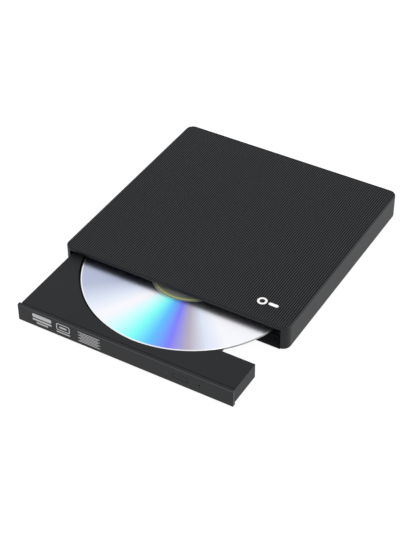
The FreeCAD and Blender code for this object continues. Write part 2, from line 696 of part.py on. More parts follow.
for number, turn in enumerate((90, 210, 330), 1):
    along, across = math.cos(math.radians(turn)), math.sin(math.radians(turn))
    inner = pawl_root - 0.7
    corner = (inner * along + slot_half * across, inner * across - slot_half * along, disc_top - 1.09)
    table.cut_turned_box(corner, turn, (3.2, slot_half * 2, 3))
    pawl = Piece(f"chuck_pawl_{number}", HUB, (0, 0, 0), turn)
    wide = (-d.pawl_half, d.pawl_half)
    pawl.add_box((pawl_root, pawl_root + 1.7), wide, (disc_top - 0.94, disc_top + 0.71))
    pawl.add_box((pawl_root + 1.5, pawl_root + 2.45), wide, (disc_top + 0.06, disc_top + 0.51))
disc = Piece("disc", HUB)
bore = d.disc_hole
edge = d.disc_radius
disc.revolve([(bore, disc_low + 0.15), (bore + 0.15, disc_low), (16.6, disc_low),
              (16.8, disc_low - 0.18), (17.4, disc_low - 0.18), (17.6, disc_low), (edge - 0.15, disc_low),
              (edge, disc_low + 0.15), (edge, disc_top - 0.15), (edge - 0.15, disc_top),
              (bore + 0.15, disc_top), (bore, disc_top - 0.15)])

# ---------------------------------------------------------------- pickup sled
lens_y = d.lens_home
sled = Piece("pickup_housing", DECK)
sled.add_box((-12.0, 15.0), (lens_y - 10, lens_y + 5.5), (3.6, 7.8))
sled.fillet(1.0, upright)
sled.cut_box((-5.2, 5.2), (lens_y - 4.6, lens_y + 4.6), (6.2, 9))
sled.cut_rod(d.rod_radius + 0.04, (d.rod_main_x, lens_y - 11, d.rod_high), 18, "y")
sled.cut_box((-12.5, -d.rod_sub_x + d.rod_radius + 0.3), (lens_y - 11, lens_y + 6),
             (d.rod_high - d.rod_radius - 0.05, d.rod_high + d.rod_radius + 0.05))
sled.cut_box((6.0, 11.0), (lens_y - 7, lens_y + 2), (3.0, 4.4))
nut = Piece("feed_nut", DECK)
nut.add_box((-14.9, -12.0), (lens_y - 8.5, lens_y - 2.5), (7.0, 7.8))
nut.add_box((-14.9, -13.9), (lens_y - 8.5, lens_y - 2.5), (5.0, 7.8))
holder = Piece("lens_holder", DECK)
holder.add_box((-4.6, 4.6), (lens_y - 3.6, lens_y + 3.6), (7.0, 8.6))
holder.fillet(0.6, upright)
holder.cut_rod(2.2, (0, lens_y, 7.8), 2)
holder.cut_rod(1.4, (0, lens_y, 6.5), 2)
lens = Piece("objective_lens", DECK, (0, lens_y, 0))
lens.revolve([(0, 7.85), (2.15, 7.85), (2.15, 8.5), (1.7, 8.75), (0.9, 8.95), (0, 9.0)])

lead = Piece("lead_screw", DECK, (-d.lead_x, 9.4, d.rod_high))
lead.add_rod(d.lead_radius, (0, 0, 0), 51.7, "y")

doc.recompute()
for piece in PIECES:
    broken = [f.Name for f in piece.body.Group if "Invalid" in f.State or "Error" in f.State]
    shape = piece.body.Shape
    if broken or shape.isNull() or not shape.isValid() or "Invalid" in piece.body.State:
        raise RuntimeError(f"{piece.name}: {broken or 'bad shape'}")
    shape.exportStep(f"parts/{piece.name}.step")
print(len(PIECES), "pieces")
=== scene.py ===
"""Looks for a slim external optical drive: ribbed lid, printed marks, finishes, stage and camera."""

import math

import bpy
import numpy as np
from mathutils import Matrix, Vector


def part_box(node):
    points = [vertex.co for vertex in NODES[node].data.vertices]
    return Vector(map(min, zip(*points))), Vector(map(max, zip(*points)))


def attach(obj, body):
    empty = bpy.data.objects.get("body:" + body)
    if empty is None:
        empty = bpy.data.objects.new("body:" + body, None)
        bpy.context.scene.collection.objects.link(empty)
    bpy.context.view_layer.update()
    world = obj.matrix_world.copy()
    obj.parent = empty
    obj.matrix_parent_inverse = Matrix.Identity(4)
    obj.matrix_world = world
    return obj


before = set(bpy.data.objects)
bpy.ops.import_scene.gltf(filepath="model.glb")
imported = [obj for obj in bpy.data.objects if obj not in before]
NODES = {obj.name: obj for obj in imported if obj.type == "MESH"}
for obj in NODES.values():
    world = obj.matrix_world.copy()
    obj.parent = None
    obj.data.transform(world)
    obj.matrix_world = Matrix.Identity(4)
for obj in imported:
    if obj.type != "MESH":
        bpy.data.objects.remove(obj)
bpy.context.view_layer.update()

bl_info = {
    "name": "Optical drive looks",
    "version": (1, 0, 0),
    "blender": (4, 5, 0),
    "location": "View3D > Sidebar > Drive",
    "description": "Ribbed lid, printed marks, finishes and a plain studio for a slim optical drive",
    "category": "Object",
}

MM = 0.001
LID_LOW, LID_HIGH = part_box("top_cover")
BEZEL_LOW, BEZEL_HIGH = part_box("front_bezel")
DISC_LOW, DISC_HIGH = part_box("disc")
SPINDLE = (DISC_LOW + DISC_HIGH) / 2
BLACK, WHITE = (0, 0, 0, 1), (1, 1, 1, 1)
# fine black plastic reflects less at a glance than a polished one
DULL = {"Specular_IOR_Level": 0.2}


def hex_colour(code):
    """An sRGB hex value such as "3a3b3d" as linear red, green, blue and a full alpha."""
    parts = [int(code[i : i + 2], 16) / 255 for i in (0, 2, 4)]
    return tuple(c / 12.92 if c <= 0.04045 else ((c + 0.055) / 1.055) ** 2.4 for c in parts) + (1.0,)


# ------------------------------------------------------------------ settings


class LidSettings(bpy.types.PropertyGroup):
    rib_pitch: bpy.props.FloatProperty(
        name="Rib pitch", description="Distance from one rib to the next", default=1.23925 * MM, unit="LENGTH"
    )
    rib_height: bpy.props.FloatProperty(
        name="Rib height", description="Groove bottom to rib crest", default=0.33 * MM, unit="LENGTH"
    )
    crest_x: bpy.props.FloatProperty(
        name="Rib place", description="Where one crest lies across the lid", default=0.8 * MM, unit="LENGTH"
    )
    rim: bpy.props.FloatProperty(
        name="Plain rim", description="Smooth border round the ribbed field", default=0.95 * MM, unit="LENGTH"
    )
    # painted highlight: the crest colour stands for light caught along the rib tops
    crest: bpy.props.FloatVectorProperty(
        name="Crest", description="Colour along the rib crests", default=hex_colour("303235")[:3],
        subtype="COLOR", size=3, min=0, max=1,
    )
    # painted shade: the groove colour stands for the shade down between the ribs
    groove: bpy.props.FloatVectorProperty(
        name="Groove", description="Colour down in the grooves", default=hex_colour("030304")[:3],
        subtype="COLOR", size=3, min=0, max=1,
    )
    corner: bpy.props.FloatProperty(
        name="Field corner", description="Corner radius of the ribbed field", default=3.7 * MM, unit="LENGTH"
    )


class MarkSettings(bpy.types.PropertyGroup):
    ink: bpy.props.FloatVectorProperty(
        name="Bezel ink", description="Colour of the pad-printed marks", default=hex_colour("a8a8aa")[:3],
        subtype="COLOR", size=3, min=0, max=1,
    )
    badge: bpy.props.FloatVectorProperty(
        name="Lid badge", description="Colour of the mark on the lid", default=hex_colour("f6f6f6")[:3],
        subtype="COLOR", size=3, min=0, max=1,
    )
    thickness: bpy.props.FloatProperty(
        name="Ink thickness", description="How far the print stands proud", default=0.04 * MM, unit="LENGTH"
    )


class ShellSettings(bpy.types.PropertyGroup):
    case: bpy.props.FloatVectorProperty(
        name="Case", description="Moulded shell colour", default=hex_colour("17191c")[:3],
        subtype="COLOR", size=3, min=0, max=1,
    )
    tray: bpy.props.FloatVectorProperty(
        name="Tray", description="Tray colour", default=hex_colour("181a1d")[:3],
        subtype="COLOR", size=3, min=0, max=1,
    )
    bezel: bpy.props.FloatVectorProperty(
        name="Bezel", description="Front bezel colour", default=hex_colour("1b1c1e")[:3],
        subtype="COLOR", size=3, min=0, max=1,
    )


class StageSettings(bpy.types.PropertyGroup):
    floor: bpy.props.FloatVectorProperty(
        name="Floor", description="Floor colour", default=hex_colour("f4f4f4")[:3],
        subtype="COLOR", size=3, min=0, max=1,
    )
    lens: bpy.props.FloatProperty(name="Lens", description="Focal length in millimetres", default=95.63)
    distance: bpy.props.FloatProperty(
        name="Distance", description="Camera to target", default=783.86 * MM, unit="LENGTH"
    )
    azimuth: bpy.props.FloatProperty(
        name="Azimuth", description="Turn round the drive from its front", default=math.radians(30.639),
        subtype="ANGLE",
    )
    elevation: bpy.props.FloatProperty(
        name="Elevation", description="Height above the floor plane", default=math.radians(39.919),
        subtype="ANGLE",
    )
    roll: bpy.props.FloatProperty(
        name="Roll", description="Turn of the camera round its own line of sight", default=math.radians(-0.410),
        subtype="ANGLE",
    )
    target: bpy.props.FloatVectorProperty(
        name="Target", description="Point that the camera looks at", default=(-1.6 * MM, -6.85 * MM, 0.8 * MM),
        subtype="TRANSLATION", size=3, precision=5,
    )


# ------------------------------------------------------------------ material helpers


def add(tree, kind, settings=None, **links):
    """Adds a node: settings are its own values, and links are values or sockets for its inputs, by name
    or _number."""
    node = tree.nodes.new("ShaderNode" + kind)
    for key, value in (settings or {}).items():
        setattr(node, key, value)
    for key, value in links.items():
        name = key.replace("_", " ")
        socket = node.inputs[int(key[1:])] if key[0] == "_" else node.inputs[name]
        if isinstance(value, bpy.types.NodeSocket):
            tree.links.new(value, socket)
        else:
            socket.default_value = value
    return node


def finish_of(name, roughness, **values):
    """A new material with its surface shader, and coordinates in metres on the piece."""
    material = bpy.data.materials.new(name)
    material.use_nodes = True
    tree = material.node_tree
    tree.nodes.clear()
    shader = add(tree, "BsdfPrincipled", None, Roughness=roughness, **values)
    out = add(tree, "OutputMaterial")
    tree.links.new(shader.outputs[0], out.inputs[0])
    place = add(tree, "TexCoord").outputs["Object"]
    return material, tree, shader, place


def stops(tree, amount, colours):
    """A straight colour ramp over (position, linear colour) pairs."""
    ramp = add(tree, "ValToRGB", None, Fac=amount)
    marks = ramp.color_ramp.elements
    while len(marks) < len(colours):
        marks.new(0.5)
    for mark, (where, colour) in zip(marks, colours):
        mark.position = where
        mark.color = colour
    return ramp.outputs["Color"]


def shade(colour, share):
    """A linear colour made lighter or darker by a share."""
    return tuple(min(1.0, c * share) for c in colour[:3]) + (1.0,)


def moulded(name, colour, roughness, grain, depth, mottle=0.06, edge=None, **values):
    """Injection-moulded plastic: spark-eroded grain in relief, and a faint cloudiness from the melt's flow.
    `edge` is a painted highlight, a lighter line standing for light caught on an edge's rounding: the height it
    starts at, the axis and the distance along it, either way from the middle, past which it shows, and its colour."""
    material, tree, shader, place = finish_of(name, roughness, **values)
    flow = add(tree, "TexNoise", None, Vector=place, Scale=1 / (18 * MM), Detail=3.0).outputs["Fac"]
    tint = stops(tree, flow, [(0.3, shade(colour, 1 - mottle)), (0.7, shade(colour, 1 + mottle))])
    # painted highlight: a lighter colour along the top of an edge, where light would catch its rounding
    if edge:
        start, axis, limit, painted_highlight = edge
        axes = add(tree, "SeparateXYZ", None, Vector=place).outputs
        above = add(tree, "MapRange", None, Value=axes[2], From_Min=start, From_Max=start + 0.3 * MM).outputs[0]
        far = add(tree, "Math", {"operation": "ABSOLUTE"}, _0=axes[axis]).outputs[0]
        beyond = add(tree, "Math", {"operation": "GREATER_THAN"}, _0=far, _1=limit).outputs[0]
        mask = add(tree, "Math", {"operation": "MULTIPLY"}, _0=above, _1=beyond).outputs[0]
        tint = add(tree, "Mix", {"data_type": "RGBA"}, _0=mask, _6=tint, _7=painted_highlight).outputs[2]
    tree.links.new(tint, shader.inputs["Base Color"])
    etch = add(tree, "TexNoise", None, Vector=place, Scale=1 / grain, Detail=4.0, Roughness=0.65).outputs["Fac"]
    sheen = add(
        tree, "MapRange", None, Value=etch, From_Min=0.3, From_Max=0.7,
        To_Min=roughness - 0.05, To_Max=roughness + 0.05,
    )
    tree.links.new(sheen.outputs[0], shader.inputs["Roughness"])
    bump = add(tree, "Bump", None, Height=etch, Strength=1.0, Distance=depth)
    tree.links.new(bump.outputs[0], shader.inputs["Normal"])
    return material


def drawn_metal(name, colour, roughness, stretch, depth, blotch=0.1):
    """Rolled, ground or drawn metal: long scratches along the pulling direction and soft tarnish."""
    material, tree, shader, place = finish_of(name, roughness, Metallic=1.0)
    lines = add(tree, "Mapping", {"vector_type": "POINT"}, Vector=place, Scale=stretch).outputs[0]
    scratch = add(tree, "TexNoise", None, Vector=lines, Scale=1.0, Detail=5.0, Roughness=0.6).outputs["Fac"]
    cloud = add(tree, "TexNoise", None, Vector=place, Scale=1 / (9 * MM), Detail=2.0).outputs["Fac"]
    tint = stops(tree, cloud, [(0.3, shade(colour, 1 - blotch)), (0.7, shade(colour, 1 + blotch))])
    tree.links.new(tint, shader.inputs["Base Color"])
    haze = add(
        tree, "MapRange", None, Value=scratch, From_Min=0.3, From_Max=0.7,
        To_Min=roughness - 0.07, To_Max=roughness + 0.1,
    )
    tree.links.new(haze.outputs[0], shader.inputs["Roughness"])
    bump = add(tree, "Bump", None, Height=scratch, Strength=1.0, Distance=depth)
    tree.links.new(bump.outputs[0], shader.inputs["Normal"])
    return material


def zinc_sheet(name):
    """Zinc-coated steel sheet: dull grey, darkened past bare zinc as painted shade for the dim inside of the case,
    with large leaf-shaped crystals of slightly different brightness.
    """
    material, tree, shader, place = finish_of(name, 0.42, Metallic=1.0)
    leaf = add(tree, "TexVoronoi", {"feature": "F1"}, Vector=place, Scale=1 / (3.2 * MM), Randomness=1.0)
    # painted shade: greys darker than bare zinc, standing for the shade inside the case
    greys_darkened_as_shade = [(0.2, hex_colour("6a6d70")), (0.5, hex_colour("7d8083")), (0.8, hex_colour("929598"))]
    tint = stops(tree, leaf.outputs["Color"], greys_darkened_as_shade)
    tree.links.new(tint, shader.inputs["Base Color"])
    haze = add(tree, "MapRange", None, Value=leaf.outputs["Color"], To_Min=0.34, To_Max=0.5)
    tree.links.new(haze.outputs[0], shader.inputs["Roughness"])
    bump = add(tree, "Bump", None, Height=leaf.outputs["Distance"], Strength=0.3, Distance=0.02 * MM)
    tree.links.new(bump.outputs[0], shader.inputs["Normal"])
    return material


def solder_mask(name):
    """Printed circuit board: green lacquer over copper tracks that show as slightly raised, lighter lines."""
    material, tree, shader, place = finish_of(name, 0.32, Coat_Weight=0.3, Coat_Roughness=0.2)
    cells = add(
        tree, "TexBrick", {"offset": 0.5, "squash": 1.0}, Vector=place, Scale=1 / (2.4 * MM), Mortar_Size=0.09,
        Brick_Width=1.7, Row_Height=0.42, Mortar_Smooth=0.1,
        Color1=hex_colour("0c3d24"), Color2=hex_colour("12492c"), Mortar=hex_colour("2c7a4b"),
    )
    tree.links.new(cells.outputs["Color"], shader.inputs["Base Color"])
    bump = add(tree, "Bump", None, Height=cells.outputs["Fac"], Strength=0.6, Distance=0.035 * MM)
    tree.links.new(bump.outputs[0], shader.inputs["Normal"])
    return material


def copper_winding(name, spindle_turns):
    """Enamelled copper wire: fine round turns laid side by side under a clear amber lacquer."""
    material, tree, shader, place = finish_of(name, 0.28, Metallic=1.0)
    way = {"wave_type": "BANDS", "bands_direction": "Z" if spindle_turns else "Y", "wave_profile": "SIN"}
    # 0.12 mm wire would blur away, so the turns are drawn 0.4 mm apart
    turns = add(tree, "TexWave", way, Vector=place, Scale=math.pi / 10 / (0.4 * MM), Distortion=0.2).outputs["Fac"]
    tint = stops(tree, turns, [(0.1, hex_colour("5a2c12")), (0.6, hex_colour("b4683a")), (1.0, hex_colour("d98e58"))])
    tree.links.new(tint, shader.inputs["Base Color"])
    bump = add(tree, "Bump", None, Height=turns, Strength=1.0, Distance=0.06 * MM)
    tree.links.new(bump.outputs[0], shader.inputs["Normal"])
    return material


def soft_rubber(name, colour, roughness):
    """Moulded rubber: no gloss, a powdery bloom in patches and a very fine pebble."""
    material, tree, shader, place = finish_of(name, roughness, Specular_IOR_Level=0.25)
    bloom = add(tree, "TexNoise", None, Vector=place, Scale=1 / (2.5 * MM), Detail=5.0).outputs["Fac"]
    tint = stops(tree, bloom, [(0.35, shade(colour, 0.85)), (0.75, shade(colour, 1.5))])
    tree.links.new(tint, shader.inputs["Base Color"])
    pebble = add(tree, "TexVoronoi", {"feature": "SMOOTH_F1"}, Vector=place, Scale=1 / (0.3 * MM)).outputs["Distance"]
    bump = add(tree, "Bump", None, Height=pebble, Strength=0.7, Distance=0.03 * MM)
    tree.links.new(bump.outputs[0], shader.inputs["Normal"])
    return material


def clear_acrylic(name, colour, roughness):
    """Clear moulded acrylic or glass: bright, smooth, with the slightest waviness of a pressed surface."""
    material, tree, shader, place = finish_of(name, roughness, IOR=1.49, Transmission_Weight=0.85)
    wave = add(tree, "TexNoise", None, Vector=place, Scale=1 / (1.2 * MM), Detail=1.0).outputs["Fac"]
    tint = stops(tree, wave, [(0.3, shade(colour, 0.94)), (0.7, colour)])
    tree.links.new(tint, shader.inputs["Base Color"])
    bump = add(tree, "Bump", None, Height=wave, Strength=0.3, Distance=0.01 * MM)
    tree.links.new(bump.outputs[0], shader.inputs["Normal"])
    return material


# The few colours that the disc's track splits white light into, painted on as fixed colours that turn with the disc,
# and its plain silver.
WHITE_GLARE, PALE_SILVER, BLUE_SILVER, MAUVE_GREY = "f8f8ff", "e0e8f8", "b8c0d8", "b8b0c0"
VIOLET, SKY_BLUE, CYAN, PALE_CYAN = "8080ff", "60c0ff", "80fff8", "c8ffff"
FAN_MIDDLE = 348.0  # degrees from +X: the line that the two coloured fans mirror each other across
FAN = (
    # degrees away from that line on either side, colour
    (0, WHITE_GLARE), (30, WHITE_GLARE), (40, PALE_SILVER), (50, MAUVE_GREY), (60, VIOLET), (70, SKY_BLUE),
    (80, CYAN), (90, PALE_CYAN), (100, WHITE_GLARE), (105, WHITE_GLARE), (115, PALE_SILVER), (130, BLUE_SILVER),
    (180, BLUE_SILVER),
)
DISC_REACH = 60.0  # mm from the spindle to the rim, which the ramps across the disc are shares of
CLEAR_RINGS = (
    # mm from the spindle, colour of the clear middle: grey with darker rings of painted shade and a yellow-green
    # painted glint from 20.5 to 21.3 mm
    (0.0, "989898"), (18.0, "888888"), (19.5, "787878"), (20.5, "889860"), (21.3, "c8c888"), (21.9, "686868"),
    (22.4, "909090"),
)
SILVER_FADE = (22.1, 22.9)  # mm over which the silver begins
WHITE_EDGE_FADE = (59.1, 59.4)  # mm over which the unsilvered white edge begins
RIM_RINGS = ((59.8, "fbfbfb"), (59.95, "8f939b"))  # mm from the spindle, colour of that edge and of its corner, whose grey is painted shade


def silvered_disc(name):
    """Polycarbonate disc, silvered beneath: the fan of colours that its track spreads light into is painted
    round the spindle, and the unsilvered middle is clear grey with rings of painted shade and one thin ring of
    painted glint."""
    material, tree, shader, place = finish_of(name, 0.3, Coat_Weight=0.2, Coat_Roughness=0.2)
    centred = add(tree, "Mapping", {"vector_type": "POINT"}, Vector=place, Location=-SPINDLE).outputs[0]
    axes = add(tree, "SeparateXYZ", None, Vector=centred).outputs
    turn = add(tree, "Math", {"operation": "ARCTAN2"}, _0=axes[1], _1=axes[0]).outputs[0]
    half_turns = add(tree, "Math", {"operation": "MULTIPLY_ADD"}, _0=turn, _1=1 / math.pi, _2=-FAN_MIDDLE / 180)
    away = add(tree, "Math", {"operation": "PINGPONG"}, _0=half_turns.outputs[0], _1=1.0).outputs[0]
    # painted diffraction fan: colours of split light, fixed by the angle round the spindle
    fan = stops(tree, away, [(degrees / 180, hex_colour(c)) for degrees, c in FAN])
    flat = add(tree, "CombineXYZ", None, X=axes[0], Y=axes[1], Z=0.0).outputs[0]
    reach = add(tree, "VectorMath", {"operation": "LENGTH"}, _0=flat).outputs["Value"]
    reach = add(tree, "Math", {"operation": "MULTIPLY"}, _0=reach, _1=1 / (DISC_REACH * MM)).outputs[0]

    def across(colours):
        return stops(tree, reach, [(r / DISC_REACH, colour) for r, colour in colours])

    # the clear middle: grey, with painted shade in its darker rings and a painted glint in its yellow-green ring
    middle = across([(r, hex_colour(c)) for r, c in CLEAR_RINGS])
    silvered = across(zip(SILVER_FADE, (BLACK, WHITE)))
    tint = add(tree, "Mix", {"data_type": "RGBA"}, _0=silvered, _6=middle, _7=fan).outputs[2]
    edge = across(zip(WHITE_EDGE_FADE, (BLACK, WHITE)))
    # the rim's grey corner is painted shade along the disc's edge
    rim = across([(r, hex_colour(c)) for r, c in RIM_RINGS])
    tint = add(tree, "Mix", {"data_type": "RGBA"}, _0=edge, _6=tint, _7=rim).outputs[2]
    tree.links.new(tint, shader.inputs["Base Color"])
    tree.links.new(silvered, shader.inputs["Metallic"])
    return material


def ribbed_lid_plastic(name, crest, groove, crest_x, pitch):
    """The lid's ribs: the shell's plastic, with a painted highlight along each crest and painted shade, near black,
    down in each groove.
    """
    material, tree, shader, place = finish_of(name, 0.42, **DULL)
    across = add(tree, "SeparateXYZ", None, Vector=place).outputs[0]
    phase = add(tree, "Math", {"operation": "SUBTRACT"}, _0=across, _1=crest_x - pitch / 2).outputs[0]
    phase = add(tree, "Math", {"operation": "DIVIDE"}, _0=phase, _1=pitch).outputs[0]
    phase = add(tree, "Math", {"operation": "FRACT"}, _0=phase).outputs[0]
    # painted shade in the grooves, painted highlight along the crests
    tint = stops(tree, phase, [(0.22, groove), (0.32, crest), (0.74, crest), (0.82, groove)])
    tree.links.new(tint, shader.inputs["Base Color"])
    matt, satin = (0.8, 0.8, 0.8, 1), (0.38, 0.38, 0.38, 1)
    gloss = stops(tree, phase, [(0.2, matt), (0.35, satin), (0.7, satin), (0.84, matt)])
    tree.links.new(gloss, shader.inputs["Roughness"])
    etch = add(tree, "TexNoise", None, Vector=place, Scale=1 / (0.3 * MM), Detail=3.0).outputs["Fac"]
    bump = add(tree, "Bump", None, Height=etch, Strength=1.0, Distance=0.004 * MM)
    tree.links.new(bump.outputs[0], shader.inputs["Normal"])
    return material


def printed_ink(name, colour, roughness):
    """Pad-printed ink: an even matt film with pin-holes and a faintly uneven edge of colour."""
    material, tree, shader, place = finish_of(name, roughness)
    film = add(tree, "TexNoise", None, Vector=place, Scale=1 / (0.5 * MM), Detail=4.0).outputs["Fac"]
    tint = stops(tree, film, [(0.32, shade(colour, 0.82)), (0.5, colour), (0.8, shade(colour, 1.05))])
    tree.links.new(tint, shader.inputs["Base Color"])
    bump = add(tree, "Bump", None, Height=film, Strength=0.5, Distance=0.004 * MM)
    tree.links.new(bump.outputs[0], shader.inputs["Normal"])
    return material


def all_finishes(shell):
    """Every finish by the record's slot name."""
    case, tray, bezel = (tuple(c) + (1.0,) for c in (shell.case, shell.tray, shell.bezel))
    steel = hex_colour("c3c5c7")
    return {
        # satin ABS shell, with a painted highlight along the top of its left and right edges
        "case_black": moulded(
            "satin_moulded_abs_case_painted_edge_highlight", case, 0.45, 0.3 * MM, 0.006 * MM, 0.06,
            (LID_HIGH.z - 0.7 * MM, 0, LID_HIGH.x - 1.2 * MM, hex_colour("303235")), **DULL,
        ),
        # the floor plate has a coarser spark-eroded texture that hides scuffs
        "base_black": moulded(
            "spark_eroded_abs_base", hex_colour("222224"), 0.62, 0.45 * MM, 0.02 * MM, **DULL,
        ),
        "tray_black": moulded("fine_matt_abs_tray", tray, 0.5, 0.25 * MM, 0.005 * MM, 0.04, **DULL),
        # the bezel's top-front edge carries a painted highlight, a lighter line along its rounding
        "bezel_black": moulded(
            "satin_moulded_abs_bezel_painted_edge_highlight", bezel, 0.4, 0.3 * MM, 0.004 * MM, 0.04,
            (BEZEL_HIGH.z - 0.42 * MM, 1, -BEZEL_LOW.y - 0.4 * MM, hex_colour("434446")), **DULL,
        ),
        "foot_rubber": soft_rubber("moulded_nitrile_rubber_foot", hex_colour("1d1d1e"), 0.85),
        "zinc_steel": zinc_sheet("zinc_coated_steel_sheet"),
        # black oxide leaves the steel near black with a blue cast and worn slots
        "screw_steel": drawn_metal(
            "black_oxide_steel_screw", hex_colour("3a3c42"), 0.38, (900, 900, 2500), 0.004 * MM,
        ),
        # acetal is waxy and milky, so its edges glow a little
        "acetal_white": moulded(
            "natural_acetal", hex_colour("e2e0d8"), 0.38, 0.6 * MM, 0.004 * MM, 0.02,
            Subsurface_Weight=0.15, Subsurface_Radius=(0.0006, 0.0005, 0.0004),
        ),
        "rail_steel": drawn_metal("rolled_steel_rail", steel, 0.3, (2500, 60, 2500), 0.003 * MM),
        "board_green": solder_mask("green_solder_mask"),
        "chip_black": moulded("moulded_epoxy_chip", hex_colour("232326"), 0.55, 0.18 * MM, 0.01 * MM, 0.1),
        "connector_cream": moulded(
            "moulded_nylon_connector", hex_colour("ddd6c2"), 0.48, 0.4 * MM, 0.006 * MM, 0.03,
        ),
        "usb_shell": drawn_metal(
            "nickel_plated_steel_shell", hex_colour("cfcdc8"), 0.22, (300, 2500, 2500), 0.002 * MM,
        ),
        "usb_tongue": moulded("moulded_black_lcp_tongue", hex_colour("1c1c1e"), 0.5, 0.2 * MM, 0.004 * MM),
        "light_pipe": clear_acrylic("moulded_smoked_acrylic", hex_colour("3a3d3e"), 0.12),
        "switch_body": moulded("moulded_nylon_switch", hex_colour("262628"), 0.5, 0.25 * MM, 0.006 * MM),
        "solenoid": copper_winding("enamelled_copper_coil", False),
        "stator": copper_winding("enamelled_copper_stator", True),
        # die-cast zinc keeps a sandy skin from the mould
        "deck_zinc": drawn_metal(
            "die_cast_zinc", hex_colour("a6a8ab"), 0.5, (1400, 1400, 1400), 0.02 * MM, 0.14,
        ),
        "damper_rubber": soft_rubber("soft_silicone_damper", hex_colour("3a3c42"), 0.75),
        "rod_steel": drawn_metal(
            "ground_steel_rod", hex_colour("d4d4d6"), 0.16, (3000, 3000, 3000), 0.001 * MM, 0.05,
        ),
        "motor_can": drawn_metal("drawn_steel_can", hex_colour("bcbec0"), 0.3, (2600, 300, 2600), 0.002 * MM),
        "rotor_can": drawn_metal(
            "nickel_plated_rotor", hex_colour("c9c8c4"), 0.24, (1500, 1500, 200), 0.002 * MM,
        ),
        "hub_plastic": moulded(
            "moulded_glass_filled_hub", hex_colour("2b2b2d"), 0.46, 0.25 * MM, 0.008 * MM, 0.08,
        ),
        "friction_ring": soft_rubber("moulded_friction_rubber", hex_colour("2a2a2c"), 0.8),
        "disc": silvered_disc("silvered_polycarbonate_disc"),
        "lens_holder": moulded("moulded_black_lens_holder", hex_colour("202022"), 0.5, 0.2 * MM, 0.004 * MM),
        "lens": clear_acrylic("coated_moulded_glass", hex_colour("c9d3f2"), 0.03),
    }


# ------------------------------------------------------------------ mesh helpers


def piece_of(name, points, faces, finish, body):
    """A closed mesh piece with one finish, riding on a body."""
    mesh = bpy.data.meshes.new(name)
    mesh.from_pydata(points, [], faces)
    mesh.validate()
    obj = bpy.data.objects.new(name, mesh)
    bpy.context.scene.collection.objects.link(obj)
    mesh.materials.append(finish)
    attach(obj, body)
    return obj


def wrapped_grid(rows, columns):
    """Quads over a rows by columns grid whose rows close on themselves, with a face at each open end."""
    index = np.arange(rows * columns).reshape(rows, columns)
    ahead = np.roll(index, -1, axis=1)
    quads = np.stack([index[:-1], ahead[:-1], ahead[1:], index[1:]], axis=-1).reshape(-1, 4)
    return quads.tolist() + [index[0, ::-1].tolist(), index[-1].tolist()]


def rib_field(settings):
    """The ribbed skin: for each x the section is a flat-bottomed loop in y and z, and the loop's top
    height follows a cosine in x, clipped to a flat crest and a flat groove; the loop's two ends follow
    a rounded rectangle, so that the field's corners are arcs."""
    low, high = LID_LOW, LID_HIGH
    left, right = low.x + settings.rim, high.x - settings.rim
    front, back = low.y + settings.rim, high.y - settings.rim
    columns_per_rib, end_slope = 8, 0.12 * MM
    swing, groove_share, end_sink = 0.9, 0.04, 0.3
    step = settings.rib_pitch / columns_per_rib
    first = math.ceil((left - settings.crest_x) / step + 0.5)
    last = math.floor((right - settings.crest_x) / step - 0.5)
    inside = settings.crest_x + step * np.arange(first, last + 1)
    x = np.concatenate([[left], inside, [right]])
    phase = (x - settings.crest_x) / settings.rib_pitch
    wave = np.clip(0.5 + swing * np.cos(math.tau * phase), 0, 1)
    floor = high.z - settings.rib_height
    top = floor + settings.rib_height * (groove_share + (1 - groove_share) * wave)
    inset = np.maximum(0, settings.corner - np.minimum(x - left, right - x))
    pull = settings.corner - np.sqrt(np.maximum(0, settings.corner**2 - inset**2))
    sink = end_sink * settings.rib_height
    y0, y1 = front + pull, back - pull
    ends = np.stack([y0, y0, y0 + end_slope, y1 - end_slope, y1, y1], axis=1)
    bottom = np.full_like(x, floor)
    heights = np.stack([bottom, top - sink * wave, top, top, top - sink * wave, bottom], axis=1)
    grid = np.stack([np.repeat(x[:, None], 6, axis=1), ends, heights], axis=-1)
    return grid.reshape(-1, 3), wrapped_grid(len(x), 6)


def plate(outline, thickness, lift):
    """A flat plate: a closed outline of (u, v) points swept from `lift` up by its thickness."""
    outline = np.asarray(outline, float)
    count = len(outline)
    points = np.concatenate([np.column_stack([outline, np.full(count, h)]) for h in (lift, lift + thickness)])
    ring = np.arange(count)
    ahead = np.roll(ring, -1)
    sides = np.stack([ring, ahead, ahead + count, ring + count], axis=-1).tolist()
    return points, sides + [ring[::-1].tolist(), (ring + count).tolist()]


def frame_plate(outer, inner, thickness, lift):
    """A flat frame: a rectangular section whose corners follow an outer and an inner outline of as
    many points, between two heights."""
    outer, inner = np.asarray(outer, float), np.asarray(inner, float)
    count = len(outer)
    heights = np.array([lift, lift, lift + thickness, lift + thickness])
    section = np.stack([inner, outer, outer, inner], axis=1)
    points = np.concatenate([section, np.broadcast_to(heights[:, None], (count, 4, 1))], axis=2).reshape(-1, 3)
    index = np.arange(count * 4).reshape(count, 4)
    ahead = np.roll(index, -1, axis=0)
    beside = np.roll(index, -1, axis=1)
    corner = np.roll(ahead, -1, axis=1)
    return points, np.stack([index, ahead, corner, beside], axis=-1).reshape(-1, 4).tolist()


def bar_outline(centre, width, height, radius, count=6):
    """A rounded rectangle's outline, four quarter circles joined by straight sides."""
    turn = np.linspace(0, math.pi / 2, count)
    corners = []
    for quarter, (sx, sy) in enumerate(((1, 1), (-1, 1), (-1, -1), (1, -1))):
        a = turn + quarter * math.pi / 2
        x = centre[0] + sx * (width / 2 - radius) + radius * np.cos(a)
        y = centre[1] + sy * (height / 2 - radius) + radius * np.sin(a)
        corners.append(np.column_stack([x, y]))
    return np.concatenate(corners)


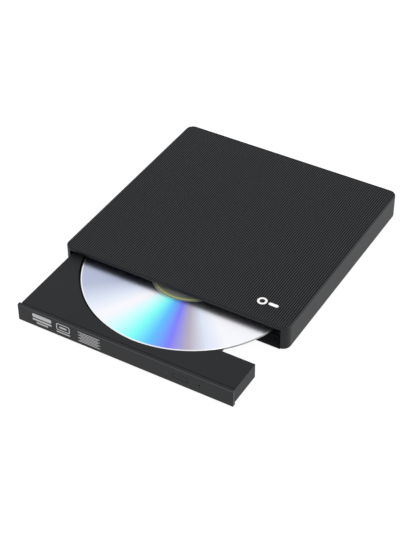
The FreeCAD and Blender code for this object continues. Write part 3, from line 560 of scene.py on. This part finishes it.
def joined(parts):
    """Several (points, faces) shapes as one."""
    points, faces, start = [], [], 0
    for p, f in parts:
        points.append(p)
        faces += [[i + start for i in face] for face in f]
        start += len(p)
    return np.concatenate(points), faces


# ------------------------------------------------------------------ operators


class DRIVE_OT_finishes(bpy.types.Operator):
    """Gives every part of the drive its finish"""

    bl_idname = "drive.finishes"
    bl_label = "Finishes"

    def execute(self, context):
        finishes = all_finishes(context.scene.drive_shell)
        for name, obj in NODES.items():
            slots = obj.data.materials
            wanted = slots[0].name.split(".")[0]
            if wanted not in finishes:
                raise RuntimeError(f"{name} has no finish for {wanted}")
            for i in range(len(slots)):
                slots[i] = finishes[wanted]
        return {"FINISHED"}


class DRIVE_OT_ribs(bpy.types.Operator):
    """Builds the fine straight ribs of the lid"""

    bl_idname = "drive.ribs"
    bl_label = "Lid ribs"

    def execute(self, context):
        lid = context.scene.drive_lid
        points, faces = rib_field(lid)
        crest, groove = (tuple(c) + (1.0,) for c in (lid.crest, lid.groove))
        finish = ribbed_lid_plastic("satin_moulded_abs_ribs_painted_shade_highlight", crest, groove, lid.crest_x, lid.rib_pitch)
        piece_of("lid_ribs", points.tolist(), faces, finish, "case")
        return {"FINISHED"}


class DRIVE_OT_marks(bpy.types.Operator):
    """Prints the plain marks on the bezel and lays the small badge on the lid"""

    bl_idname = "drive.marks"
    bl_label = "Printed marks"

    def execute(self, context):
        marks = context.scene.drive_marks
        ink = printed_ink("grey_pad_print", tuple(marks.ink) + (1.0,), 0.5)
        white = printed_ink("white_pad_print", tuple(marks.badge) + (1.0,), 0.4)
        film = marks.thickness
        above_centre = 0.45 * MM
        middle = (BEZEL_LOW.z + BEZEL_HIGH.z) / 2 + above_centre

        def on_bezel(shapes):
            points, faces = joined(shapes)
            across, up, out = points.T
            placed = np.column_stack([across, BEZEL_LOW.y - out, middle + up])
            return placed.tolist(), faces

        def bar(x, z, width, height, radius):
            return plate(bar_outline((x * MM, z * MM), width * MM, height * MM, radius * MM), film, 0.0)

        def frame_of(x, z, width, height, radius, line):
            outer = bar_outline((x * MM, z * MM), width * MM, height * MM, radius * MM)
            shrink = 2 * line
            inner = bar_outline(
                (x * MM, z * MM), (width - shrink) * MM, (height - shrink) * MM, (radius - line) * MM
            )
            return frame_plate(outer, inner, film, 0.0)

        # each bar is x and height from the middle, width, height and corner radius, in millimetres
        first = [bar(-49, 1.9, 12, 2.5, 0.9), bar(-49, -0.75, 12, 1.2, 0.5), bar(-49, -2.6, 7.2, 1.0, 0.4)]
        second = [
            frame_of(-35.8, 0.8, 8.4, 4.6, 1.2, 0.55), bar(-35.8, 0.8, 4.6, 1.2, 0.5),
            bar(-35.8, -2.7, 8.4, 0.8, 0.3),
        ]
        third = [bar(-19.8, 2.9 - row, 13.4 - 2.4 * (row % 2), 0.42, 0.18) for row in range(7)]
        for name, shapes in (("print_bars", first), ("print_ring", second), ("print_lines", third)):
            points, faces = on_bezel(shapes)
            piece_of(name, points, faces, ink, "tray")

        # the badge sinks a little into the ribs' crests and stands proud of them
        lift, badge_depth, ring_steps = LID_HIGH.z - 0.02 * MM, 0.1 * MM, 12
        ring_centre, bar_centre = (46.6 * MM, -29.0 * MM), (53.2 * MM, -29.0 * MM)
        # the radii are just under half the widths, so that no two points of an outline coincide
        outer = bar_outline(ring_centre, 5.4 * MM, 5.4 * MM, 2.65 * MM, ring_steps)
        inner = bar_outline(ring_centre, 3.0 * MM, 3.0 * MM, 1.45 * MM, ring_steps)
        badge = joined([
            frame_plate(outer, inner, badge_depth, lift),
            plate(bar_outline(bar_centre, 5.6 * MM, 2.0 * MM, 0.9 * MM), badge_depth, lift),
        ])
        piece_of("lid_badge", badge[0].tolist(), badge[1], white, "case")
        return {"FINISHED"}


class DRIVE_OT_stage(bpy.types.Operator):
    """Lays the pale floor, hangs the soft lights and sets the camera"""

    bl_idname = "drive.stage"
    bl_label = "Stage"

    def execute(self, context):
        scene = context.scene
        stage = scene.drive_stage
        self.lay_floor(scene, stage)
        self.hang_lights(scene)
        self.set_camera(scene, stage)
        return {"FINISHED"}

    def lay_floor(self, scene, stage):
        mesh = bpy.data.meshes.new("floor")
        reach = 6.0
        corners = [(-reach, -reach, 0), (reach, -reach, 0), (reach, reach, 0), (-reach, reach, 0)]
        mesh.from_pydata(corners, [], [(0, 1, 2, 3)])
        floor = bpy.data.objects.new("floor", mesh)
        scene.collection.objects.link(floor)
        material, tree, shader, place = finish_of("pale_matt_sweep", 0.9)
        colour = tuple(stage.floor) + (1.0,)
        # the floor glows evenly and reflects little, so that the drive casts only a faint shadow
        shader.inputs["Base Color"].default_value = shade(colour, 0.2)
        mottle = add(tree, "TexNoise", None, Vector=place, Scale=4.0).outputs["Fac"]
        tint = stops(tree, mottle, [(0.3, shade(colour, 0.985)), (0.7, colour)])
        tree.links.new(tint, shader.inputs["Emission Color"])
        shader.inputs["Emission Strength"].default_value = 1.0
        shader.inputs["Specular IOR Level"].default_value = 0.0
        mesh.materials.append(material)

    def hang_lights(self, scene):
        world = bpy.data.worlds.new("studio")
        world.use_nodes = True
        background = world.node_tree.nodes["Background"]
        background.inputs["Color"].default_value = hex_colour("ffffff")
        background.inputs["Strength"].default_value = 1.0
        scene.world = world
        for name, place, size, power in (
            ("right_softbox", (0.82, -0.60, 1.05), 0.35, 1.7),
            ("front_softbox", (-0.58, -0.96, 0.99), 0.35, 1.2),
        ):
            lamp = bpy.data.lights.new(name, "AREA")
            lamp.shape = "SQUARE"
            lamp.size = size
            lamp.energy = power
            holder = bpy.data.objects.new(name, lamp)
            holder.location = place
            holder.rotation_mode = "QUATERNION"
            holder.rotation_quaternion = (-Vector(place)).to_track_quat("-Z", "Y")
            scene.collection.objects.link(holder)

    def set_camera(self, scene, stage):
        """The camera looks at a point near the middle of the drive, its up turned by a slight roll."""
        roll, az, el = stage.roll, stage.azimuth, stage.elevation
        back = Vector((math.sin(az) * math.cos(el), -math.cos(az) * math.cos(el), math.sin(el)))
        right = Vector((math.cos(az), math.sin(az), 0))
        up = back.cross(right)
        across = right * math.cos(roll) + up * math.sin(roll)
        above = up * math.cos(roll) - right * math.sin(roll)
        data = bpy.data.cameras.new("camera")
        data.lens = stage.lens
        data.sensor_width = 36
        data.shift_x, data.shift_y = -0.00217, -0.00189
        data.clip_start, data.clip_end = 0.01, 50
        camera = bpy.data.objects.new("camera", data)
        turned = Matrix((across, above, back)).transposed().to_4x4()
        camera.matrix_world = Matrix.Translation(Vector(stage.target) + back * stage.distance) @ turned
        scene.collection.objects.link(camera)
        scene.camera = camera
        scene.view_settings.view_transform = "Standard"


class DRIVE_PT_panel(bpy.types.Panel):
    """Everything that dresses the drive"""

    bl_idname = "DRIVE_PT_panel"
    bl_label = "Optical drive"
    bl_space_type = "VIEW_3D"
    bl_region_type = "UI"
    bl_category = "Drive"

    def draw(self, context):
        for operator, group in STEPS:
            box = self.layout.box()
            box.operator(operator.bl_idname)
            if group:
                settings = getattr(context.scene, group)
                for key in settings.__annotations__:
                    box.prop(settings, key)


GROUPS = {
    "drive_lid": LidSettings,
    "drive_marks": MarkSettings,
    "drive_shell": ShellSettings,
    "drive_stage": StageSettings,
}
STEPS = (
    (DRIVE_OT_finishes, "drive_shell"),
    (DRIVE_OT_ribs, "drive_lid"),
    (DRIVE_OT_marks, "drive_marks"),
    (DRIVE_OT_stage, "drive_stage"),
)
CLASSES = (*GROUPS.values(), *(step for step, _ in STEPS), DRIVE_PT_panel)


def register():
    for cls in CLASSES:
        bpy.utils.register_class(cls)
    for name, group in GROUPS.items():
        setattr(bpy.types.Scene, name, bpy.props.PointerProperty(type=group))


def unregister():
    for name in GROUPS:
        delattr(bpy.types.Scene, name)
    for cls in reversed(CLASSES):
        bpy.utils.unregister_class(cls)


def main():
    register()
    bpy.ops.drive.finishes()
    bpy.ops.drive.ribs()
    bpy.ops.drive.marks()
    bpy.ops.drive.stage()
    bpy.context.view_layer.update()


if __name__ == "__main__":
    main()
